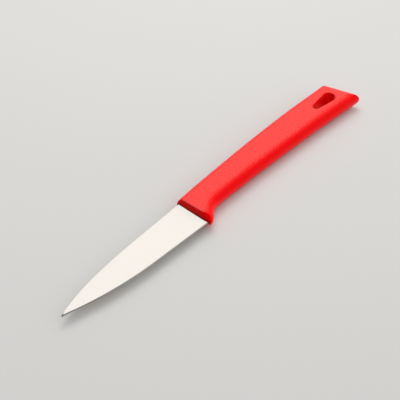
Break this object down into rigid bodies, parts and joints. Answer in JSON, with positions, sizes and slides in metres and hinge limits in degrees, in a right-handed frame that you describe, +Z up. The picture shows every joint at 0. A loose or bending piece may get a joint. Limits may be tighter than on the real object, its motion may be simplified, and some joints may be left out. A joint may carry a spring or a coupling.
{
  "type": "paring knife",
  "caption": "Small kitchen knife with a pointed, straight-ground blade and a one-piece moulded handle with a finger-guard toe, slanted butt and teardrop hanging hole.",
  "frame": {"origin": "centre of the bounding box on the surface the knife lies on, directly under the middle of its length and width", "axes": "+X from the blade's point towards the handle's butt, +Y from the cutting edge towards the spine, +Z up, square to the flat of the blade"},
  "size_m": [0.1982, 0.0218, 0.0093],
  "materials": {
    "blade_steel": "satin, finely ground",
    "handle_plastic": "finely grained red"
  },
  "bodies": {
    "root": {"blade": "blade_steel", "handle": "handle_plastic"}
  },
  "joints": []
}
